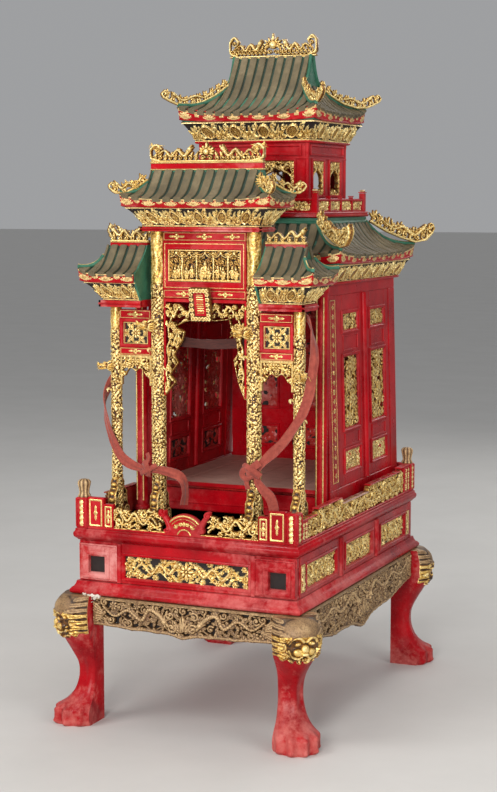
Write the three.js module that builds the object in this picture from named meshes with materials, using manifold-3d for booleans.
// Portable shrine: a carved, lacquered and gilded wooden palanquin that two poles carry.
// Millimetres, +Z up, front at -Y, origin on the ground under the middle of the plinth.
import * as THREE from "three";
import { mergeVertices } from "three/addons/utils/BufferGeometryUtils.js";
import Module from "manifold-3d";

const wasm = await Module();
wasm.setup();
const { Manifold, Mesh: SolidMesh } = wasm;

// ---- driving dimensions ----
const GAP = 0.3;

const PLINTH = { x: 287, y: 420, bottom: 304, top: 334 };
const WAIST = { x: 271, y: 398, top: 428, board: 18 };
const DECK = { x: 281, y: 410, top: 456 };
const POLE_HOLE = { x: 225, wide: 42, bottom: 348, top: 398 };
const LEG = { points: 14, rings: 14, reach: 75 };
const RAIL_POST = { x: 260, y: 391, size: 29, top: 528, finial: 571 };
const RAIL_THICK = 17;

const HALL = { front: -121, back: 364, footX: 244, headX: 228, wall: 16, top: 1013 };
const FLOOR = { top: 528, thick: 9.7, riserTop: 510, front: -105, back: 346 };
const HALL_COLUMN = { x: 232, y: -153, r: 14, top: 1013 };

const MAIN_ROOF = { x: 270, front: -134, back: 399, eave: 1076, lift: 16 };
const PLATFORM = { x: 186, front: -61, back: 289, bottom: 1165, top: 1178 };
const PAVILION = { x: 140, front: -15, back: 239, wall: 14, top: 1345 };
const TOP_ROOF = { x: 178, front: -58, back: 278, eave: 1411, lift: 18, ridge: 1552, crest: 1613 };

const GATE = { y: -285, innerX: 120, outerX: 230, thick: 16 };
const GATE_ROOF = { x: 184, front: -350, back: -200, fascia: 1191, ridge: 1273, crest: 1339 };
const SIDE_ROOF = { inner: 147, outer: 289, front: -357, back: -200, fascia: 1021, ridge: 1102 };

// ---- finishes ----
const finish = (color, roughness, metalness) =>
  new THREE.MeshStandardMaterial({ color, roughness, metalness });
const lacquer = finish(0xa30f16, 0.35, 0.0);
const gilt = finish(0xc79a3c, 0.38, 0.8);
const agedGilt = finish(0x8a6a35, 0.55, 0.5);
const tiles = finish(0x6d6552, 0.75, 0.0);
const boards = finish(0x6b3a30, 0.7, 0.0);
const cloth = finish(0xa4362f, 0.9, 0.0);

const shrine = new THREE.Group();

// ---- geometry helpers ----
// A closed BufferGeometry as a solid that can be joined and cut.
function toSolid(geometry) {
  const bare = geometry.clone();
  bare.deleteAttribute("normal");
  bare.deleteAttribute("uv");
  const merged = mergeVertices(bare, 1e-4);
  return new Manifold(
    new SolidMesh({
      numProp: 3,
      vertProperties: new Float32Array(merged.attributes.position.array),
      triVerts: new Uint32Array(merged.index.array),
    }),
  );
}

function toGeometry(solid) {
  const mesh = solid.getMesh();
  const geometry = new THREE.BufferGeometry();
  geometry.setAttribute("position", new THREE.BufferAttribute(mesh.vertProperties, 3));
  geometry.setIndex(new THREE.BufferAttribute(mesh.triVerts, 1));
  geometry.computeVertexNormals();
  return geometry;
}

function add(name, solid, material) {
  const mesh = new THREE.Mesh(toGeometry(solid), material);
  mesh.name = name;
  shrine.add(mesh);
}

const join = (solids) => solids.reduce((all, one) => all.add(one));

function block(x0, x1, y0, y1, z0, z1) {
  const box = new THREE.BoxGeometry(x1 - x0, y1 - y0, z1 - z0);
  box.translate((x0 + x1) / 2, (y0 + y1) / 2, (z0 + z1) / 2);
  return toSolid(box);
}

const outline = (pairs) => new THREE.Shape(pairs.map(([u, v]) => new THREE.Vector2(u, v)));

// An outline in (x, z), as deep as from y0 to y1.
function plateAlongY(shape, y0, y1) {
  const plate = new THREE.ExtrudeGeometry(shape, { depth: y1 - y0, bevelEnabled: false });
  plate.rotateX(Math.PI / 2);
  plate.translate(0, y1, 0);
  return toSolid(plate);
}

// An outline in (y, z), as deep as from x0 to x1.
function plateAlongX(shape, x0, x1) {
  const plate = new THREE.ExtrudeGeometry(shape, { depth: x1 - x0, bevelEnabled: false });
  const turn = new THREE.Matrix4().makeBasis(
    new THREE.Vector3(0, 1, 0),
    new THREE.Vector3(0, 0, 1),
    new THREE.Vector3(1, 0, 0),
  );
  plate.applyMatrix4(turn);
  plate.translate(x0, 0, 0);
  return toSolid(plate);
}

// A body through closed rings of equal length, each counter-clockwise seen from its far end.
function loft(rings) {
  const count = rings[0].length;
  const positions = rings.flat().flatMap((p) => [p.x, p.y, p.z]);
  const faces = [];
  for (let r = 0; r + 1 < rings.length; r += 1) {
    for (let i = 0; i < count; i += 1) {
      const a = r * count + i;
      const b = r * count + ((i + 1) % count);
      faces.push(a, b, b + count, a, b + count, a + count);
    }
  }
  const last = (rings.length - 1) * count;
  for (let i = 1; i + 1 < count; i += 1) {
    faces.push(0, i + 1, i);
    faces.push(last, last + i, last + i + 1);
  }
  const geometry = new THREE.BufferGeometry();
  geometry.setAttribute("position", new THREE.Float32BufferAttribute(positions, 3));
  geometry.setIndex(faces);
  return toSolid(geometry);
}

// A rectangular ring with its corners swept up by lift; flatSide keeps one end level.
function rectRing({ x0, x1, y0, y1, z, lift = 0, steps = 1, flatSide = 0 }) {
  const corners = [
    [x0, y0],
    [x1, y0],
    [x1, y1],
    [x0, y1],
  ];
  const points = [];
  corners.forEach(([ax, ay], side) => {
    const [bx, by] = corners[(side + 1) % 4];
    for (let i = 0; i < steps; i += 1) {
      const x = ax + ((bx - ax) * i) / steps;
      const y = ay + ((by - ay) * i) / steps;
      const u = (2 * (x - x0)) / (x1 - x0) - 1;
      const v = (2 * (y - y0)) / (y1 - y0) - 1;
      const level = flatSide && u * flatSide > 0 ? 0 : Math.abs(u) ** 4 * Math.abs(v) ** 4;
      points.push(new THREE.Vector3(x, y, z + lift * level));
    }
  });
  return points;
}

// Stacked centred rectangles, as [half x, half y, z].
const stackedSlab = (levels) =>
  loft(levels.map(([x, y, z]) => rectRing({ x0: -x, x1: x, y0: -y, y1: y, z })));

const mirrorX = (solid) => solid.mirror([1, 0, 0]);

// Smooth values between [position, ...values] rows.
function smoothRows(rows, count) {
  const curves = rows[0].map((_, column) =>
    new THREE.SplineCurve(rows.map((row) => new THREE.Vector2(row[0], row[column]))),
  );
  return Array.from({ length: count }, (_, i) => {
    const t = i / (count - 1);
    return curves.map((curve, column) => (column ? curve.getPoint(t).y : curve.getPoint(t).x));
  });
}

// ---- stand: four cabriole legs with lion-mask knees and paw feet ----
const LEG_ROWS = [
  // height, outer reach, inner reach, half width, measured from the plinth corner
  [0, 28, -70, 49],
  [10, 33, -72, 53],
  [32, 34, -73, 54],
  [56, 16, -76, 46],
  [76, -20, -82, 33],
  [105, -32, -84, 27],
  [140, -20, -80, 27],
  [175, 2, -78, 33],
  [205, 24, -79, 43],
  [240, 36, -80, 49],
  [272, 34, -80, 50],
  [292, 16, -79, 47],
  [303.7, 4, -77, 44],
];

function leg(signX, signY) {
  const cornerX = signX * PLINTH.x;
  const cornerY = signY * PLINTH.y;
  const turn = Math.SQRT1_2;
  const rings = smoothRows(LEG_ROWS, LEG.rings).map(([z, outer, inner, wide], index, all) => {
    const height = index === 0 ? 0 : index === all.length - 1 ? PLINTH.bottom - GAP : z;
    const middle = (outer + inner) / 2;
    const deep = (outer - inner) / 2;
    return Array.from({ length: LEG.points }, (_, i) => {
      const angle = (2 * Math.PI * i) / LEG.points;
      const toes = z < 60 && Math.cos(angle) > 0 ? 1 + 0.05 * Math.cos(6 * angle) : 1;
      // Round towards the corner, squarer behind.
      const power = Math.cos(angle) > 0 ? 1 : 0.7;
      const shaped = (value) => Math.sign(value) * Math.abs(value) ** power;
      const out = middle + deep * shaped(Math.cos(angle)) * toes;
      const across = wide * shaped(Math.sin(angle));
      return new THREE.Vector3(
        cornerX + turn * signX * (out - across),
        cornerY + turn * signY * (out + across),
        height,
      );
    });
  });
  // A mirrored leg's rings run the other way round.
  if (signX * signY < 0) rings.forEach((ring) => ring.reverse());
  return loft(rings);
}

for (const [name, signX, signY] of [
  ["leg_front_left", -1, -1],
  ["leg_front_right", 1, -1],
  ["leg_back_left", -1, 1],
  ["leg_back_right", 1, 1],
]) {
  add(name, leg(signX, signY), lacquer);
}

// ---- aprons: carved boards with a scalloped lower edge ----
function apronShape(half, endZ, shoulderZ, middleZ) {
  const steps = 28;
  const lower = Array.from({ length: steps + 1 }, (_, i) => {
    const u = (2 * i) / steps - 1;
    const belly = THREE.MathUtils.smoothstep(1 - Math.abs(u), 0, 0.55);
    const centre = Math.exp(-((u / 0.16) ** 2));
    const scallop = 3.5 * Math.abs(Math.sin(7 * Math.PI * u * 0.5));
    const z = endZ + (shoulderZ - endZ) * belly + (middleZ - shoulderZ) * centre;
    return [u * half, z + scallop * (1 - Math.abs(u))];
  });
  return outline([...lower, [half, PLINTH.bottom - GAP], [-half, PLINTH.bottom - GAP]]);
}

// Each apron stops just short of the legs beside it.
const APRON_END = LEG.reach + 4;
const frontApron = apronShape(PLINTH.x - APRON_END, 236, 230, 222);
const sideApron = apronShape(PLINTH.y - APRON_END, 232, 208, 187);
add("apron_front", plateAlongY(frontApron, -PLINTH.y + 2, -PLINTH.y + 22), agedGilt);
add("apron_back", plateAlongY(frontApron, PLINTH.y - 22, PLINTH.y - 2), agedGilt);
add("apron_left", plateAlongX(sideApron, -PLINTH.x + 2, -PLINTH.x + 22), agedGilt);
add("apron_right", plateAlongX(sideApron, PLINTH.x - 22, PLINTH.x - 2), agedGilt);

// ---- base: plinth moulding, waist boards with pole holes, deck ----
add(
  "plinth_moulding",
  stackedSlab([
    [PLINTH.x - 8, PLINTH.y - 8, PLINTH.bottom],
    [PLINTH.x, PLINTH.y, PLINTH.bottom + 4],
    [PLINTH.x, PLINTH.y, PLINTH.bottom + 11],
    [PLINTH.x - 6, PLINTH.y - 8, PLINTH.bottom + 18],
    [WAIST.x + 4, WAIST.y + 6, PLINTH.top - 5],
    [WAIST.x + 3, WAIST.y + 4, PLINTH.top],
  ]),
  lacquer,
);
add(
  "deck_moulding",
  stackedSlab([
    [WAIST.x + 2, WAIST.y + 2, WAIST.top],
    [DECK.x - 4, DECK.y - 5, WAIST.top + 5],
    [DECK.x, DECK.y, WAIST.top + 13],
    [DECK.x - 1, DECK.y - 1, WAIST.top + 20],
    [DECK.x - 5, DECK.y - 4, DECK.top],
  ]),
  lacquer,
);

const WAIST_LOW = PLINTH.top + GAP;
const WAIST_HIGH = WAIST.top - GAP;

// An end board: raised frames round its two pole holes, and a sunk field for carving between them.
function frontBoard(sign) {
  const face = sign * WAIST.y;
  const inside = sign * (WAIST.y - WAIST.board);
  const [y0, y1] = [Math.min(face, inside), Math.max(face, inside)];
  let board = block(-WAIST.x, WAIST.x, y0, y1, WAIST_LOW, WAIST_HIGH);
  for (const side of [-1, 1]) {
    const raised = [face, face + sign * 4].sort((a, b) => a - b);
    const inner = side * 171;
    const outer = side * 268;
    const [x0, x1] = [Math.min(inner, outer), Math.max(inner, outer)];
    board = board.add(block(x0, x1, raised[0], raised[1], WAIST_LOW + 4, WAIST_HIGH - 6));
    const hole = block(
      side * POLE_HOLE.x - POLE_HOLE.wide / 2,
      side * POLE_HOLE.x + POLE_HOLE.wide / 2,
      y0 - 10,
      y1 + 10,
      POLE_HOLE.bottom,
      POLE_HOLE.top,
    );
    board = board.subtract(hole);
  }
  const sunk = [face - sign * 9, face + sign * 9].sort((a, b) => a - b);
  return board.subtract(block(-162, 162, sunk[0], sunk[1], 342, 405));
}

// A side board: three sunk fields for carving, with a rounded bar between each two.
function sideBoard(sign) {
  const reach = WAIST.y - WAIST.board - GAP;
  const face = sign * WAIST.x;
  const inside = sign * (WAIST.x - WAIST.board);
  let board = block(Math.min(face, inside), Math.max(face, inside), -reach, reach, WAIST_LOW, WAIST_HIGH);
  const sunk = [face - sign * 9, face + sign * 9].sort((a, b) => a - b);
  for (const centre of [-248, 0, 248]) {
    board = board.subtract(block(sunk[0], sunk[1], centre - 98, centre + 98, 343, 410));
  }
  for (const mullion of [-124, 124]) {
    const half = [face - sign * 1, face + sign * 5].sort((a, b) => a - b);
    board = board.add(block(half[0], half[1], mullion - 5, mullion + 5, WAIST_LOW, WAIST_HIGH));
  }
  return board;
}

add("base_front_board", frontBoard(-1), lacquer);
add("base_back_board", frontBoard(1), lacquer);
add("base_left_board", sideBoard(-1), lacquer);
add("base_right_board", sideBoard(1), lacquer);

// ---- balustrade on the deck ----
const DECK_TOP = DECK.top + GAP;

function finial(x, y) {
  const profile = [
    [0, RAIL_POST.top - 1],
    [13, RAIL_POST.top - 1],
    [13.5, RAIL_POST.top + 6],
    [10, RAIL_POST.top + 13],
    [13, RAIL_POST.top + 22],
    [14, RAIL_POST.top + 33],
    [11, RAIL_POST.finial - 3],
    [0, RAIL_POST.finial],
  ];
  const lathe = new THREE.LatheGeometry(profile.map(([r, z]) => new THREE.Vector2(r, z)), 10);
  lathe.rotateX(Math.PI / 2);
  lathe.translate(x, y, 0);
  return toSolid(lathe);
}

// The front right finial is lost, so that post ends flat.
for (const [name, signX, signY, whole] of [
  ["rail_post_front_left", -1, -1, true],
  ["rail_post_front_right", 1, -1, false],
  ["rail_post_back_left", -1, 1, true],
  ["rail_post_back_right", 1, 1, true],
]) {
  const half = RAIL_POST.size / 2;
  const x = signX * RAIL_POST.x;
  const y = signY * RAIL_POST.y;
  const post = block(x - half, x + half, y - half, y + half, DECK_TOP, RAIL_POST.top);
  add(name, whole ? post.add(finial(x, y)) : post, lacquer);
}

const RAIL_X = RAIL_POST.x - RAIL_POST.size / 2 - GAP;
const RAIL_Y = RAIL_POST.y - RAIL_POST.size / 2 - GAP;
const frontRailShape = outline([
  [-RAIL_X, DECK_TOP],
  [RAIL_X, DECK_TOP],
  [RAIL_X, 530],
  [205, 530],
  [205, 516],
  [180, 516],
  [176, 506],
  [130, 514],
  [95, 507],
  [62, 511],
  [44, 498],
  [22, 506],
  [-22, 506],
  [-44, 498],
  [-62, 511],
  [-95, 507],
  [-130, 514],
  [-176, 506],
  [-180, 516],
  [-205, 516],
  [-205, 530],
  [-RAIL_X, 530],
]);
const backRailShape = outline([
  [-RAIL_X, DECK_TOP],
  [RAIL_X, DECK_TOP],
  [RAIL_X, 528],
  [205, 528],
  [205, 508],
  [-205, 508],
  [-205, 528],
  [-RAIL_X, 528],
]);
const sideRailShape = outline([
  [-RAIL_Y, DECK_TOP],
  [RAIL_Y, DECK_TOP],
  [RAIL_Y, 529],
  [301, 529],
  [301, 521],
  [70, 521],
  [62, 506],
  [-112, 506],
  [-120, 520],
  [-274, 520],
  [-280, 508],
  [-RAIL_Y, 508],
]);
const RAIL_FACE_Y = RAIL_POST.y + RAIL_POST.size / 2 - 2;
const RAIL_FACE_X = RAIL_POST.x + RAIL_POST.size / 2 - 2;
add("rail_front", plateAlongY(frontRailShape, -RAIL_FACE_Y, -RAIL_FACE_Y + RAIL_THICK), gilt);
add("rail_back", plateAlongY(backRailShape, RAIL_FACE_Y - RAIL_THICK, RAIL_FACE_Y), gilt);
add("rail_left", plateAlongX(sideRailShape, -RAIL_FACE_X, -RAIL_FACE_X + RAIL_THICK), gilt);
add("rail_right", plateAlongX(sideRailShape, RAIL_FACE_X - RAIL_THICK, RAIL_FACE_X), gilt);

// ---- hall: floor, battered walls with two leaves each side, corner columns ----
const INNER_FOOT = HALL.footX - HALL.wall;
const RISER_X = INNER_FOOT - 6;
add(
  "floor_riser",
  block(-RISER_X, RISER_X, FLOOR.front + 10, FLOOR.back, DECK_TOP, FLOOR.riserTop).add(
    block(-RISER_X, RISER_X, FLOOR.front + 26, FLOOR.back, FLOOR.riserTop - 1, FLOOR.top - FLOOR.thick - GAP),
  ),
  lacquer,
);
const FLOOR_X = INNER_FOOT - 4;
add(
  "hall_floor",
  block(-FLOOR_X, FLOOR_X, FLOOR.front, FLOOR.back, FLOOR.top - FLOOR.thick, FLOOR.top),
  boards,
);

const LEAVES = [
  [-50, 127],
  [141, 318],
];
const FIELDS = [
  [562, 614],
  [663, 840],
  [897, 942],
];

// A wall's outline in (x, z): it leans in as it rises.
function wallPlan(sign) {
  return outline([
    [sign * INNER_FOOT, DECK_TOP],
    [sign * HALL.footX, DECK_TOP],
    [sign * HALL.headX, HALL.top],
    [sign * (HALL.headX - HALL.wall), HALL.top],
  ]);
}

function hallWall(sign) {
  let wall = plateAlongY(wallPlan(sign), HALL.front, HALL.back);
  for (const [y0, y1] of LEAVES) {
    for (const [z0, z1] of FIELDS) {
      const middle = (z0 + z1) / 2;
      const share = (middle - DECK.top) / (HALL.top - DECK.top);
      const face = THREE.MathUtils.lerp(HALL.footX, HALL.headX, share);
      const window = outline([
        [y0 + 34, z0],
        [y1 - 34, z0],
        [y1 - 34, z1],
        [y0 + 34, z1],
      ]);
      const outside = [sign * (face - 5), sign * (face + 20)].sort((a, b) => a - b);
      const inside = [sign * (face - HALL.wall - 20), sign * (face - HALL.wall + 5)].sort((a, b) => a - b);
      wall = wall.subtract(plateAlongX(window, outside[0], outside[1]));
      wall = wall.subtract(plateAlongX(window, inside[0], inside[1]));
    }
  }
  return wall;
}

add("hall_wall_left", hallWall(-1), lacquer);
add("hall_wall_right", hallWall(1), lacquer);

const BACK_LOW = FLOOR.back + GAP;
const backPlan = outline([
  [-(INNER_FOOT - 1), DECK_TOP],
  [INNER_FOOT - 1, DECK_TOP],
  [HALL.headX - HALL.wall - 1, HALL.top],
  [-(HALL.headX - HALL.wall - 1), HALL.top],
]);
let backWall = plateAlongY(backPlan, BACK_LOW, HALL.back);
for (const centre of [-132, 0, 132]) {
  for (const [z0, z1] of FIELDS) {
    backWall = backWall.subtract(block(centre - 48, centre + 48, HALL.back - 5, HALL.back + 20, z0, z1));
  }
}
add("hall_wall_back", backWall, lacquer);

function hallColumn(sign) {
  const length = HALL_COLUMN.top - DECK_TOP;
  const shaft = new THREE.CylinderGeometry(HALL_COLUMN.r, HALL_COLUMN.r, length, 12);
  shaft.rotateX(Math.PI / 2);
  shaft.translate(sign * HALL_COLUMN.x, HALL_COLUMN.y, DECK_TOP + length / 2);
  return toSolid(shaft);
}
const frontBeam = block(-HALL_COLUMN.x, HALL_COLUMN.x, -163, -143, 977, HALL.top);
add("hall_front_frame", join([hallColumn(-1), hallColumn(1), frontBeam]), lacquer);

// ---- roofs ----
// Slopes follow a hollow curve: share of the run gives the share of the rise.
const hollow = (share) => 0.42 * share + 0.58 * share ** 3;

// Rings from the eave (a rectangle) in and up to another rectangle.
function slopeRings(eave, head, { rise, lift, count, steps, flatSide = 0 }) {
  return Array.from({ length: count }, (_, i) => {
    const share = i / (count - 1);
    const mix = (a, b) => a + (b - a) * share;
    return rectRing({
      x0: mix(eave.x0, head.x0),
      x1: mix(eave.x1, head.x1),
      y0: mix(eave.y0, head.y0),
      y1: mix(eave.y1, head.y1),
      z: eave.z + rise * hollow(share),
      lift: lift * (1 - share) ** 2,
      steps,
      flatSide,
    });
  });
}

const grow = (box, by) => ({ x0: box.x0 - by, x1: box.x1 + by, y0: box.y0 - by, y1: box.y1 + by });
const ROOF_STEPS = 6;

// A coved band of carving that leans out from under an eave.
function covedFrieze(low, high, z0, z1) {
  const levels = [0, 0.5, 1].map((share) => {
    const mix = (a, b) => a + (b - a) * share ** 1.4;
    return rectRing({
      x0: mix(low.x0, high.x0),
      x1: mix(low.x1, high.x1),
      y0: mix(low.y0, high.y0),
      y1: mix(low.y1, high.y1),
      z: z0 + (z1 - z0) * share,
    });
  });
  return loft(levels);
}

const mainEave = { x0: -MAIN_ROOF.x, x1: MAIN_ROOF.x, y0: MAIN_ROOF.front, y1: MAIN_ROOF.back };
const mainHead = {
  x0: -(PLATFORM.x - 6),
  x1: PLATFORM.x - 6,
  y0: PLATFORM.front + 6,
  y1: PLATFORM.back - 6,
};
const MAIN_FRIEZE = { low: HALL.top + GAP, high: 1057.7 };
add(
  "main_frieze",
  covedFrieze(
    { x0: -236, x1: 236, y0: HALL.front - 2, y1: HALL.back + 8 },
    grow(mainEave, -7),
    MAIN_FRIEZE.low,
    MAIN_FRIEZE.high,
  ),
  gilt,
);
const MAIN_SLOPE_TOP = 1150;
const mainRings = [
  rectRing({ ...grow(mainEave, -3), z: 1058, lift: 4, steps: ROOF_STEPS }),
  ...slopeRings({ ...mainEave, z: MAIN_ROOF.eave }, mainHead, {
    rise: MAIN_SLOPE_TOP - MAIN_ROOF.eave,
    lift: MAIN_ROOF.lift,
    count: 6,
    steps: ROOF_STEPS,
  }),
  rectRing({ ...mainHead, z: PLATFORM.bottom - GAP, steps: ROOF_STEPS }),
];
add("main_roof", loft(mainRings), tiles);

// A carved crest that climbs a hip: an upright plate on the line from head to tip.
function hipCrest({ head, tip, thick, heights, hipZ, clear }) {
  const run = new THREE.Vector2(tip[0] - head[0], tip[1] - head[1]);
  const length = run.length();
  const lower = hipZ.map(([share, z]) => [share * length, z + clear]);
  const upper = heights.map(([share, z]) => [share * length, z]).reverse();
  const plate = plateAlongY(outline([...lower, ...upper]), -thick / 2, thick / 2);
  const angle = (Math.atan2(run.y, run.x) * 180) / Math.PI;
  return plate.rotate([0, 0, angle]).translate([head[0], head[1], 0]);
}

const CORNERS = [
  ["front_left", -1, -1],
  ["front_right", 1, -1],
  ["back_left", -1, 1],
  ["back_right", 1, 1],
];
const MAIN_TIP = { x: 306, reachY: 36 };
for (const [corner, signX, signY] of CORNERS) {
  const headY = signY < 0 ? PLATFORM.front - 4 : PLATFORM.back + 4;
  const tipY = signY < 0 ? MAIN_ROOF.front - MAIN_TIP.reachY : MAIN_ROOF.back + MAIN_TIP.reachY;
  const crest = hipCrest({
    head: [signX * (PLATFORM.x + 3), headY],
    tip: [signX * MAIN_TIP.x, tipY],
    thick: 16,
    clear: 1.5,
    hipZ: [
      [0, 1150],
      [0.25, 1126],
      [0.5, 1109],
      [0.72, 1098],
      [0.9, 1103],
      [1, 1120],
    ],
    heights: [
      [0, 1162],
      [0.2, 1154],
      [0.34, 1142],
      [0.48, 1152],
      [0.6, 1138],
      [0.74, 1150],
      [0.88, 1142],
      [1, 1160],
    ],
  });
  add("main_roof_crest_" + corner, crest, gilt);
}

// ---- platform and pavilion above the main roof ----
const PLATFORM_LOW = PLATFORM.bottom;
const railLine = { x0: -178, x1: 178, y0: PLATFORM.front + 8, y1: PLATFORM.back - 8 };
function platformSolid() {
  const slab = block(-PLATFORM.x, PLATFORM.x, PLATFORM.front, PLATFORM.back, PLATFORM_LOW, PLATFORM.top);
  const thick = 10;
  const outer = block(railLine.x0, railLine.x1, railLine.y0, railLine.y1, PLATFORM.top - 1, 1210);
  const inner = block(
    railLine.x0 + thick,
    railLine.x1 - thick,
    railLine.y0 + thick,
    railLine.y1 - thick,
    PLATFORM.top - 2,
    1211,
  );
  const posts = [];
  for (const x of [railLine.x0 + 5, railLine.x1 - 5]) {
    for (const y of [railLine.y0 + 5, railLine.y1 - 5]) {
      posts.push(block(x - 8, x + 8, y - 8, y + 8, PLATFORM.top - 1, 1232));
    }
  }
  return join([slab, outer.subtract(inner), ...posts]);
}
add("platform_railing", platformSolid(), lacquer);

const WINDOW = { bottom: 1216, top: 1302 };
function pavilionSolid() {
  const base = PLATFORM.top + GAP;
  const { x, front, back, wall, top } = PAVILION;
  let body = block(-x, x, front, back, base, top);
  body = body.subtract(block(-x + wall, x - wall, front + wall, back - wall, base - 1, top - 14));
  for (const centre of [-62, 62]) {
    body = body.subtract(
      block(centre - 46, centre + 46, front - 10, back + 10, WINDOW.bottom, WINDOW.top),
    );
    const middle = (front + back) / 2 + centre * 0.9;
    body = body.subtract(
      block(-x - 10, x + 10, middle - 40, middle + 40, WINDOW.bottom, WINDOW.top),
    );
  }
  return body;
}
add("pavilion", pavilionSolid(), lacquer);

const topEave = { x0: -TOP_ROOF.x, x1: TOP_ROOF.x, y0: TOP_ROOF.front, y1: TOP_ROOF.back };
add(
  "top_frieze",
  covedFrieze(
    { x0: -148, x1: 148, y0: PAVILION.front - 8, y1: PAVILION.back + 8 },
    grow(topEave, -5),
    PAVILION.top + GAP,
    1391.7,
  ),
  gilt,
);
const TOP_MIDDLE = (TOP_ROOF.front + TOP_ROOF.back) / 2;
const GABLE = { x: 98, half: 50, base: 1480, ridgeHalf: 7 };
const gableFoot = {
  x0: -GABLE.x,
  x1: GABLE.x,
  y0: TOP_MIDDLE - GABLE.half,
  y1: TOP_MIDDLE + GABLE.half,
};
const ridgeFoot = {
  x0: -GABLE.x,
  x1: GABLE.x,
  y0: TOP_MIDDLE - GABLE.ridgeHalf,
  y1: TOP_MIDDLE + GABLE.ridgeHalf,
};
const topRings = [
  rectRing({ ...grow(topEave, -3), z: 1392, lift: 6, steps: ROOF_STEPS }),
  ...slopeRings({ ...topEave, z: TOP_ROOF.eave }, gableFoot, {
    rise: GABLE.base - TOP_ROOF.eave,
    lift: TOP_ROOF.lift,
    count: 5,
    steps: ROOF_STEPS,
  }),
  ...slopeRings({ ...gableFoot, z: GABLE.base }, ridgeFoot, {
    rise: TOP_ROOF.ridge - GABLE.base,
    lift: 0,
    count: 4,
    steps: ROOF_STEPS,
  }).slice(1),
];
add("top_roof", loft(topRings), tiles);

// A ridge with scrolling ends and a flaming jewel in the middle, seen along y.
function ridgeCrest({ half, foot, low, high, peak, jewel }) {
  const steps = 12;
  const right = Array.from({ length: steps + 1 }, (_, i) => {
    const u = 1 - i / steps;
    const wave = (high - low) * (0.35 + 0.65 * Math.abs(Math.sin(u * Math.PI * 2.5)));
    return [jewel + u * (half - jewel), low + wave];
  });
  const left = right.map(([x, z]) => [-x, z]).reverse();
  return outline([[-half, foot], [half, foot], ...right, [jewel * 0.6, peak - 14], [0, peak], [-jewel * 0.6, peak - 14], ...left]);
}
const topCrest = ridgeCrest({ half: 114, foot: TOP_ROOF.ridge + GAP, low: 1566, high: 1588, peak: TOP_ROOF.crest, jewel: 24 });
add("top_roof_ridge", plateAlongY(topCrest, TOP_MIDDLE - 9, TOP_MIDDLE + 9), gilt);

for (const [corner, signX, signY] of CORNERS) {
  const headY = TOP_MIDDLE + signY * (GABLE.half + 3);
  const tipY = signY < 0 ? TOP_ROOF.front - 26 : TOP_ROOF.back + 26;
  const crest = hipCrest({
    head: [signX * (GABLE.x + 2), headY],
    tip: [signX * (TOP_ROOF.x + 27), tipY],
    thick: 12,
    clear: 1.5,
    hipZ: [
      [0, 1481],
      [0.2, 1457],
      [0.4, 1440],
      [0.62, 1431],
      [0.8, 1433],
      [1, 1448],
    ],
    heights: [
      [0, 1492],
      [0.2, 1474],
      [0.36, 1462],
      [0.52, 1474],
      [0.64, 1456],
      [0.78, 1470],
      [0.9, 1462],
      [1, 1476],
    ],
  });
  add("top_roof_crest_" + corner, crest, gilt);
}

// ---- gate: four dragon columns, panels, arch and three roofs ----
// A carved column: a round shaft whose coiling dragon swells it along a helix.
function gateColumn(sign, x, r, top) {
  const points = 10;
  const rings = [];
  const bottom = DECK_TOP;
  const count = 12;
  for (let k = 0; k < count; k += 1) {
    const z = bottom + ((top - bottom) * k) / (count - 1);
    const ring = Array.from({ length: points }, (_, i) => {
      const angle = (2 * Math.PI * i) / points;
      const swell = 1 + 0.1 * Math.cos(angle - z / 32);
      return new THREE.Vector3(
        sign * x + (r * swell * Math.cos(angle)) / 1.1,
        GATE.y + (r * swell * Math.sin(angle)) / 1.1,
        z,
      );
    });
    rings.push(ring);
  }
  const drum = outline([
    [-45, DECK_TOP],
    [45, DECK_TOP],
    [43, 492],
    [34, 524],
    [20, 552],
    [0, 566],
    [-20, 552],
    [-34, 524],
    [-43, 492],
  ]);
  const stone = plateAlongX(drum, -8, 8).translate([sign * x, GATE.y, 0]);
  return loft(rings).add(stone);
}
const INNER_COLUMN = { r: 15.5, top: 1135 };
const OUTER_COLUMN = { r: 12, top: 961.5 };
for (const [side, sign] of [
  ["left", -1],
  ["right", 1],
]) {
  const inner = gateColumn(sign, GATE.innerX, INNER_COLUMN.r, INNER_COLUMN.top);
  const outer = gateColumn(sign, GATE.outerX, OUTER_COLUMN.r, OUTER_COLUMN.top);
  add("gate_column_inner_" + side, inner, gilt);
  add("gate_column_outer_" + side, outer, gilt);
}

const BAY = GATE.innerX - INNER_COLUMN.r - 0.8;
const CENTRE_Y = [GATE.y - 10, GATE.y + 8];
let centrePanel = block(-BAY, BAY, CENTRE_Y[0], CENTRE_Y[1], 984, 1135);
centrePanel = centrePanel.subtract(block(-92, 92, CENTRE_Y[0] - 5, CENTRE_Y[0] + 6, 1021, 1096));
centrePanel = centrePanel.subtract(block(-BAY - 5, BAY + 5, CENTRE_Y[0] - 5, CENTRE_Y[0] + 3, 1004, 1009));
centrePanel = centrePanel.subtract(block(-BAY - 5, BAY + 5, CENTRE_Y[0] - 5, CENTRE_Y[0] + 3, 1110, 1113));
add("gate_centre_panel", centrePanel, lacquer);

const plaque = block(-25, 25, -6, 6, 0, 77).rotate([11, 0, 0]).translate([0, GATE.y - 18.5, 935]);
add("name_plaque", plaque, gilt);

// Pierced arch under the lintel: two posts and a carved head with hanging sides.
const archHead = [
  [98, 758],
  [88, 790],
  [90, 815],
  [76, 838],
  [80, 862],
  [66, 885],
  [70, 905],
  [50, 915],
  [46, 934],
  [22, 930],
];
const archShape = outline([
  [-BAY, 758],
  ...archHead.map(([x, z]) => [-x, z]),
  [0, 938],
  ...archHead.map(([x, z]) => [x, z]).reverse(),
  [BAY, 758],
  [BAY, 983],
  [-BAY, 983],
]);
add("gate_arch", plateAlongY(archShape, GATE.y - 6, GATE.y + 6), gilt);

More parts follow.
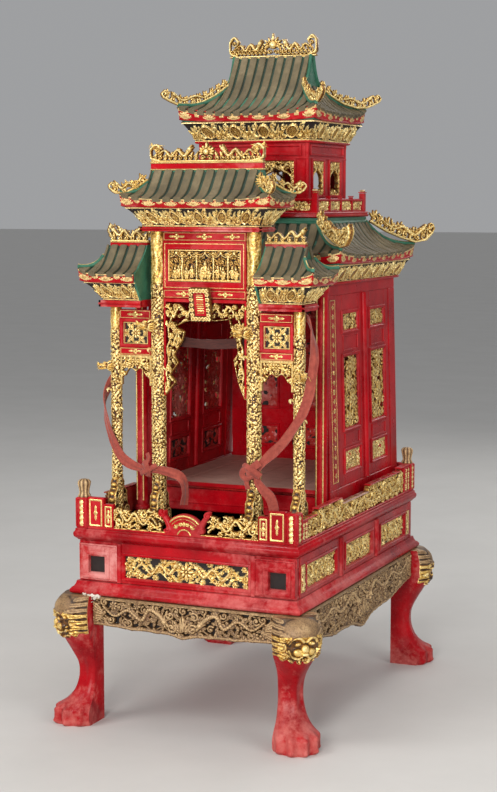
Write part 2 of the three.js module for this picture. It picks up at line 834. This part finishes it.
function sideBay(sign) {
  const x0 = GATE.innerX + INNER_COLUMN.r + 0.8;
  const x1 = GATE.outerX - OUTER_COLUMN.r - 0.8;
  const width = x1 - x0;
  const lower = Array.from({ length: 13 }, (_, i) => {
    const u = (2 * i) / 12 - 1;
    const scallop = 30 * (1 - Math.abs(u) ** 3) + 8 * Math.abs(Math.sin(1.5 * Math.PI * u));
    return [x0 + (width * i) / 12, 778 + scallop * 1.1];
  });
  const shape = outline([...lower, [x1, 955], [x0, 955]]);
  let bay = plateAlongY(shape, GATE.y - 7, GATE.y + 7);
  bay = bay.subtract(block(x0 + 12, x1 - 12, GATE.y - 20, GATE.y - 2, 872, 926));
  return sign > 0 ? bay : mirrorX(bay);
}
add("gate_side_panel_left", sideBay(-1), lacquer);
add("gate_side_panel_right", sideBay(1), lacquer);

// A gate roof with its cornice, coved frieze, slopes and small gable.
function gateRoof({ eave, cornice, frieze, fascia, slopeTop, foot, ridgeTop, ridge, flatSide = 0, tuck }) {
  const inner = (box, by) => ({
    x0: flatSide > 0 ? box.x0 + by : flatSide < 0 ? box.x0 : box.x0 + by,
    x1: flatSide > 0 ? box.x1 : flatSide < 0 ? box.x1 - by : box.x1 - by,
    y0: box.y0 + by,
    y1: box.y1 - by,
  });
  const steps = ROOF_STEPS;
  return loft([
    rectRing({ ...inner(eave, tuck), z: cornice[0], steps }),
    rectRing({ ...inner(eave, tuck), z: cornice[1], steps }),
    rectRing({ ...inner(eave, tuck + 10), z: cornice[1] + 1, steps }),
    rectRing({ ...inner(eave, 8), z: frieze, steps }),
    rectRing({ ...inner(eave, 3), z: frieze + 1, lift: 4, steps, flatSide }),
    ...slopeRings({ ...eave, z: fascia }, foot, {
      rise: slopeTop - fascia,
      lift: 12,
      count: 4,
      steps,
      flatSide,
    }),
    ...slopeRings({ ...foot, z: slopeTop }, ridge, {
      rise: ridgeTop - slopeTop,
      lift: 0,
      count: 3,
      steps,
    }).slice(1),
  ]);
}

const GATE_MIDDLE = (GATE_ROOF.front + GATE_ROOF.back) / 2;
add(
  "gate_centre_roof",
  gateRoof({
    eave: { x0: -GATE_ROOF.x, x1: GATE_ROOF.x, y0: GATE_ROOF.front, y1: GATE_ROOF.back },
    cornice: [1136, 1146],
    frieze: GATE_ROOF.fascia - 1,
    fascia: 1208,
    tuck: 26,
    slopeTop: 1244,
    foot: { x0: -137, x1: 137, y0: GATE_MIDDLE - 28, y1: GATE_MIDDLE + 28 },
    ridgeTop: GATE_ROOF.ridge,
    ridge: { x0: -137, x1: 137, y0: GATE_MIDDLE - 7, y1: GATE_MIDDLE + 7 },
  }),
  tiles,
);
const gateCrest = ridgeCrest({ half: 140, foot: GATE_ROOF.ridge + GAP, low: 1293, high: 1322, peak: GATE_ROOF.crest, jewel: 24 });
add("gate_centre_ridge", plateAlongY(gateCrest, GATE_MIDDLE - 8, GATE_MIDDLE + 8), gilt);

const SIDE_MIDDLE = (SIDE_ROOF.front + SIDE_ROOF.back) / 2;
const sideRidgeX = 242;
function sideGateRoof(sign) {
  const body = gateRoof({
    eave: { x0: SIDE_ROOF.inner, x1: SIDE_ROOF.outer, y0: SIDE_ROOF.front, y1: SIDE_ROOF.back },
    cornice: [962, 977],
    frieze: SIDE_ROOF.fascia - 1,
    fascia: 1039,
    tuck: 26,
    flatSide: -1,
    slopeTop: 1074,
    foot: { x0: SIDE_ROOF.inner, x1: sideRidgeX + 8, y0: SIDE_MIDDLE - 28, y1: SIDE_MIDDLE + 28 },
    ridgeTop: SIDE_ROOF.ridge,
    ridge: { x0: SIDE_ROOF.inner, x1: sideRidgeX, y0: SIDE_MIDDLE - 7, y1: SIDE_MIDDLE + 7 },
  });
  const crest = outline([
    [SIDE_ROOF.inner, SIDE_ROOF.ridge - 2],
    [sideRidgeX, SIDE_ROOF.ridge - 2],
    [sideRidgeX + 8, 1130],
    [sideRidgeX - 4, 1148],
    [sideRidgeX - 20, 1132],
    [sideRidgeX - 40, 1148],
    [sideRidgeX - 62, 1134],
    [SIDE_ROOF.inner, 1130],
  ]);
  const whole = body.add(plateAlongY(crest, SIDE_MIDDLE - 7, SIDE_MIDDLE + 7));
  return sign > 0 ? whole : mirrorX(whole);
}
add("gate_side_roof_left", sideGateRoof(-1), tiles);
add("gate_side_roof_right", sideGateRoof(1), tiles);

// ---- cloth straps tied to the gate columns ----
const STRAP = { wide: 24, thick: 2.5 };

// A ribbon through rows of [x, y, z, bearing its face looks along, in degrees].
function ribbon(rows, steps) {
  const path = new THREE.CatmullRomCurve3(rows.map(([x, y, z]) => new THREE.Vector3(x, y, z)));
  const rings = Array.from({ length: steps + 1 }, (_, i) => {
    const share = i / steps;
    const centre = path.getPoint(share);
    const along = path.getTangent(share);
    const place = share * (rows.length - 1);
    const row = Math.min(Math.floor(place), rows.length - 2);
    const bearing = THREE.MathUtils.lerp(rows[row][3], rows[row + 1][3], place - row);
    const angle = THREE.MathUtils.degToRad(bearing);
    const face = new THREE.Vector3(Math.cos(angle), Math.sin(angle), 0);
    face.addScaledVector(along, -face.dot(along)).normalize();
    const across = new THREE.Vector3().crossVectors(face, along);
    return [
      [-1, -1],
      [1, -1],
      [1, 1],
      [-1, 1],
    ].map(([w, n]) =>
      centre
        .clone()
        .addScaledVector(across, (w * STRAP.wide) / 2)
        .addScaledVector(face, (n * STRAP.thick) / 2),
    );
  });
  return loft(rings);
}

add(
  "strap_left",
  ribbon(
    [
      [-232, -264, 806, -250],
      [-250, -268, 788, -225],
      [-261, -285, 744, -170],
      [-249, -302, 701, -130],
      [-236, -307, 666, -110],
      [-221, -309, 635, -95],
      [-203, -311, 611, -88],
      [-178, -312, 596, -85],
      [-138, -313, 587, -85],
      [-106, -311, 588, -80],
      [-78, -307, 583, -75],
      [-60, -301, 575, -50],
      [-51, -297, 559, -20],
      [-49, -296, 536, -5],
      [-52, -297, 508, -25],
    ],
    28,
  ),
  cloth,
);
add(
  "strap_right",
  ribbon(
    [
      [226, -264, 948, 80],
      [243, -266, 943, 50],
      [254, -270, 915, 10],
      [265, -284, 883, -35],
      [270, -298, 851, -55],
      [267, -304, 816, -62],
      [261, -307, 778, -76],
      [248, -309, 738, -86],
      [227, -311, 703, -90],
      [204, -312, 671, -90],
      [177, -313, 644, -90],
      [154, -314, 622, -90],
      [141, -315, 600, -88],
      [142, -316, 578, -84],
      [156, -316, 560, -80],
      [172, -315, 544, -76],
      [180, -314, 520, -80],
      [178, -313, 496, -90],
    ],
    51,
  ),
  cloth,
);
add(
  "strap_inside",
  ribbon(
    [
      [-124, -262, 886, 80],
      [-80, -260, 885, 88],
      [0, -257, 882, 90],
      [80, -260, 887, 92],
      [124, -262, 889, 100],
    ],
    10,
  ),
  cloth,
);

export default shrine;
